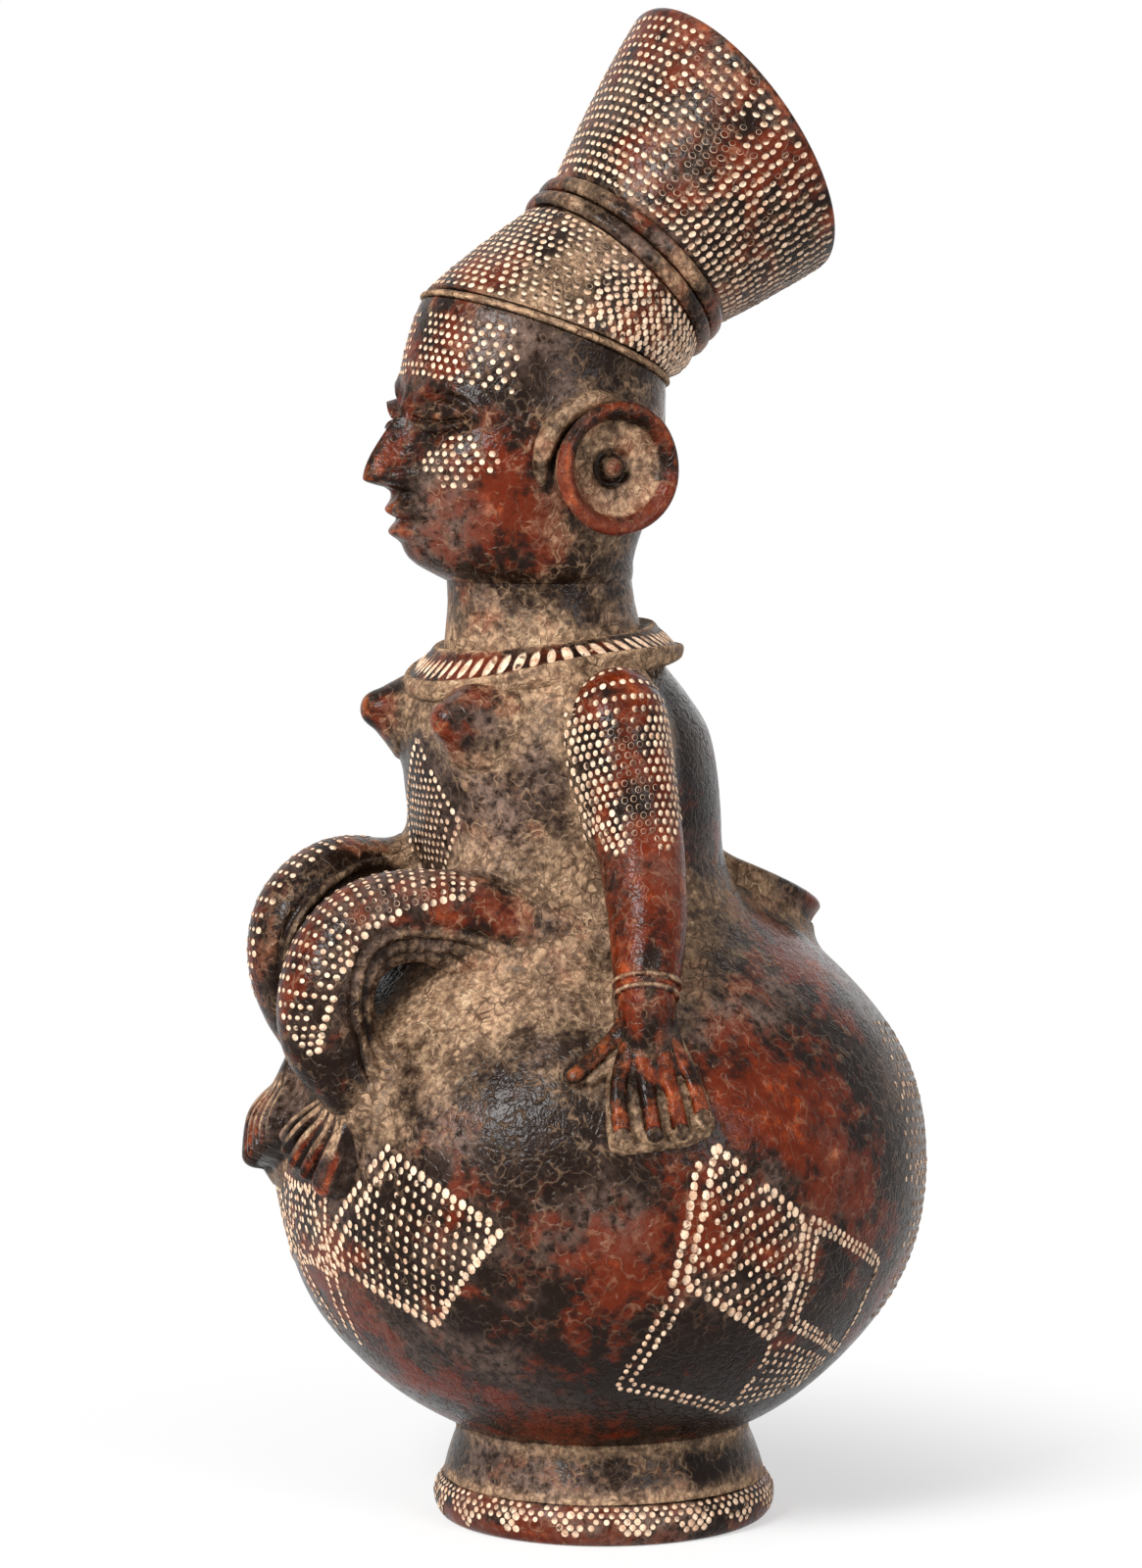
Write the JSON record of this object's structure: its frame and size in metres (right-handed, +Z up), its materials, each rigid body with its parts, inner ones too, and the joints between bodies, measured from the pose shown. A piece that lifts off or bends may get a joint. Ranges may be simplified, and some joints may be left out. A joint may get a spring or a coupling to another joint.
{
  "type": "anthropomorphic vessel",
  "caption": "Hand-built clay vessel: a globular pot on a ring foot, a seated female figure on top with a flared headdress, and a short pouring neck behind.",
  "frame": {"origin": "on the ground under the middle of the vessel's footprint, at the level of the foot's flat underside", "axes": "+Z up, the figure faces -Y, its left side is +X"},
  "size_m": [0.192, 0.2042, 0.4426],
  "materials": {
    "oxblood_clay": "burnished dark red slip",
    "smoked_clay": "burnished and smoked brown-black",
    "dusty_clay": "matt clay with pale dust",
    "worn_clay": "slip worn to orange clay"
  },
  "bodies": {
    "root": {"foot_ring": "oxblood_clay", "foot_wall": "smoked_clay", "pot_lower_bowl": "oxblood_clay", "pot_upper_shoulder": "smoked_clay", "pouring_neck": "dusty_clay", "torso": "smoked_clay", "neck": "smoked_clay", "collar": "dusty_clay", "head": "oxblood_clay", "headband": "dusty_clay", "coiffure": "smoked_clay", "coiffure_lower_coil": "dusty_clay", "coiffure_upper_coil": "dusty_clay", "headdress": "oxblood_clay", "left_ear_spool": "worn_clay", "left_ear_fold": "dusty_clay", "left_breast": "worn_clay", "left_arm": "oxblood_clay", "left_wrist_coil_upper": "dusty_clay", "left_wrist_coil_lower": "dusty_clay", "left_hand": "worn_clay", "left_leg": "oxblood_clay", "left_foot": "smoked_clay", "right_ear_spool": "worn_clay", "right_ear_fold": "dusty_clay", "right_breast": "worn_clay", "right_arm": "oxblood_clay", "right_wrist_coil_upper": "dusty_clay", "right_wrist_coil_lower": "dusty_clay", "right_hand": "worn_clay", "right_leg": "oxblood_clay", "right_foot": "smoked_clay"}
  },
  "joints": []
}
